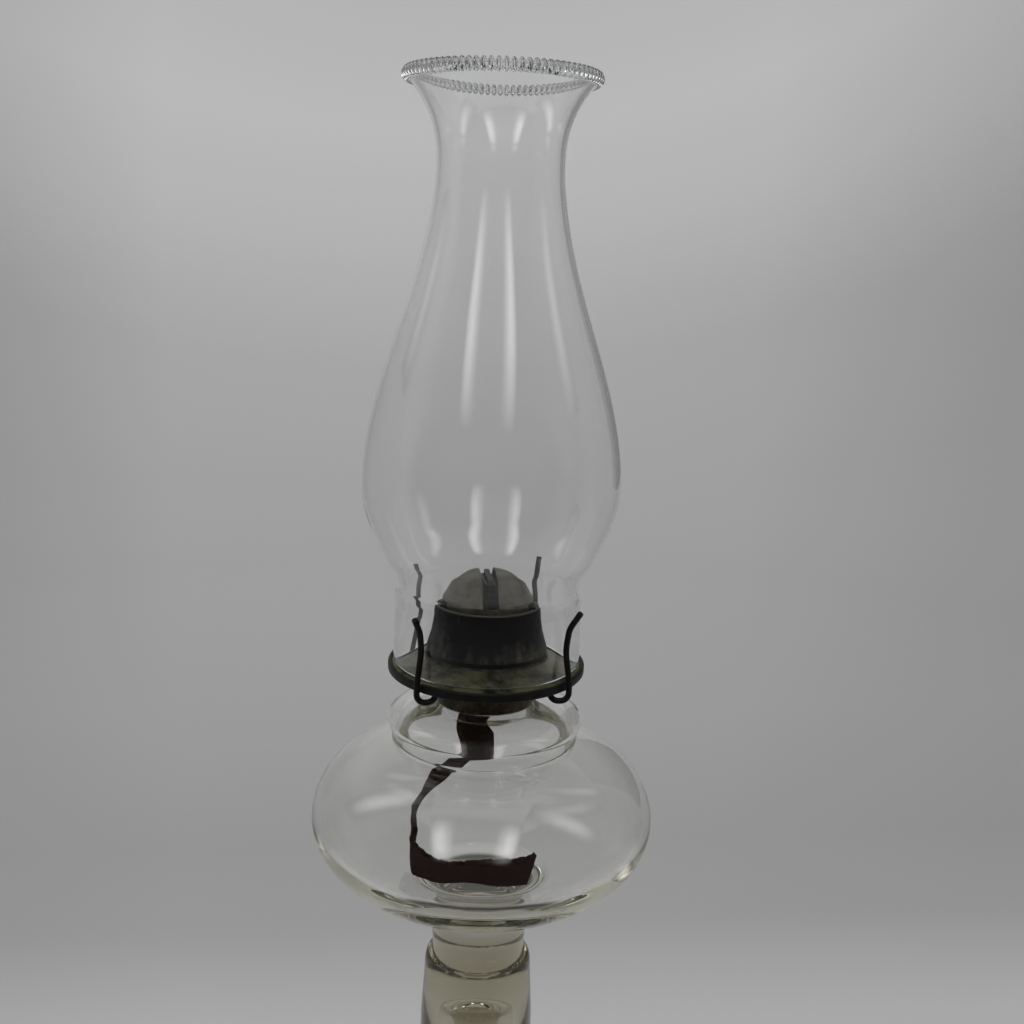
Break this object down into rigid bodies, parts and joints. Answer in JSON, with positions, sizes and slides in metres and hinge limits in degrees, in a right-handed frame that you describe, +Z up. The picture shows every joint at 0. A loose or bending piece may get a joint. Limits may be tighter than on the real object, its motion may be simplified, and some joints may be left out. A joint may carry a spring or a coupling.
{
  "type": "oil lamp",
  "caption": "Glass stand oil lamp: pedestal and round font, brass flat-wick burner with wire prongs, wick winder, and a bulged glass chimney with a beaded rim",
  "frame": {"origin": "centre of the foot on the table", "axes": "+Z up the lamp's axis, -Y the front, the wick winder's thumb wheel at the back on +Y"},
  "size_m": [0.1186, 0.1186, 0.4042],
  "materials": {
    "lamp_glass": "pressed clear glass with a faint grey-green cast",
    "chimney_glass": "thin blown clear glass",
    "collar_brass": "browned brass",
    "plaster": "set plaster",
    "burner_brass": "aged sheet brass with an olive-brown patina",
    "sooted_brass": "sheet brass blackened by soot",
    "dome_brass": "heat-greyed sheet brass, dull",
    "black_iron": "blackened steel wire and band",
    "wick_cotton": "flat woven cotton, soaked dark",
    "winder_steel": "drawn steel wire",
    "winder_brass": "aged brass with a milled edge"
  },
  "bodies": {
    "lamp_base": {"pedestal": "lamp_glass", "font": "lamp_glass", "font_cap": "lamp_glass", "collar": "collar_brass", "collar_cement": "plaster"},
    "screw_shell": {"thread_shell": "burner_brass"},
    "burner": {"air_basket": "burner_brass", "winder_bush": "burner_brass", "gallery_plate": "burner_brass", "gallery_rim": "black_iron", "drum": "sooted_brass", "air_diffuser": "burner_brass", "flame_dome": "dome_brass", "wick_tube": "burner_brass"},
    "winder": {"winder_shaft": "winder_steel", "star_wheel_front": "winder_brass", "star_wheel_back": "winder_brass", "thumb_wheel": "winder_brass"},
    "wick": {"wick": "wick_cotton"},
    "chimney": {"chimney": "chimney_glass"},
    "prong_back_right": {"prong_back_right": "black_iron"},
    "prong_back_left": {"prong_back_left": "black_iron"},
    "prong_front_left": {"prong_front_left": "black_iron"},
    "prong_front_right": {"prong_front_right": "black_iron"}
  },
  "joints": [
    {"name": "burner_rise", "type": "slide", "parent": "lamp_base", "child": "screw_shell", "axis": [0, 0, 1], "range_m": [0, 0.0054]},
    {"name": "burner_turn", "type": "hinge", "parent": "screw_shell", "child": "burner", "pos_m": [0, 0, 0.206], "axis": [0, 0, 1], "range_deg": [0, 1080]},
    {"name": "chimney_lift", "type": "slide", "parent": "burner", "child": "chimney", "axis": [0, 0, 1], "range_m": [0, 0.06]},
    {"name": "winder_turn", "type": "hinge", "parent": "burner", "child": "winder", "pos_m": [0.0046, 0, 0.2088], "axis": [0, 1, 0], "range_deg": [-127.3, 95.4]},
    {"name": "wick_feed", "type": "slide", "parent": "burner", "child": "wick", "axis": [0, 0, 1], "range_m": [-0.008, 0.006], "deforming": ["wick"]},
    {"name": "prong_back_right_spring", "type": "hinge", "parent": "burner", "child": "prong_back_right", "pos_m": [0.02032, 0.026, 0.2098], "axis": [-0.788, 0.6157, 0], "range_deg": [0, 8], "stiffness_Nm_per_rad": 0.05},
    {"name": "prong_back_left_spring", "type": "hinge", "parent": "burner", "child": "prong_back_left", "pos_m": [-0.02334, 0.02334, 0.2098], "axis": [-0.7071, -0.7071, 0], "range_deg": [0, 8], "stiffness_Nm_per_rad": 0.05},
    {"name": "prong_front_left_spring", "type": "hinge", "parent": "burner", "child": "prong_front_left", "pos_m": [-0.02334, -0.02334, 0.2098], "axis": [0.7071, -0.7071, 0], "range_deg": [0, 8], "stiffness_Nm_per_rad": 0.05},
    {"name": "prong_front_right_spring", "type": "hinge", "parent": "burner", "child": "prong_front_right", "pos_m": [0.02334, -0.02334, 0.2098], "axis": [0.7071, 0.7071, 0], "range_deg": [0, 8], "stiffness_Nm_per_rad": 0.05}
  ],
  "couplings": [
    {"joint": "burner_rise", "follows": "burner_turn", "m_per_rad": 0.00028647},
    {"joint": "wick_feed", "follows": "winder_turn", "m_per_rad": 0.0036}
  ]
}
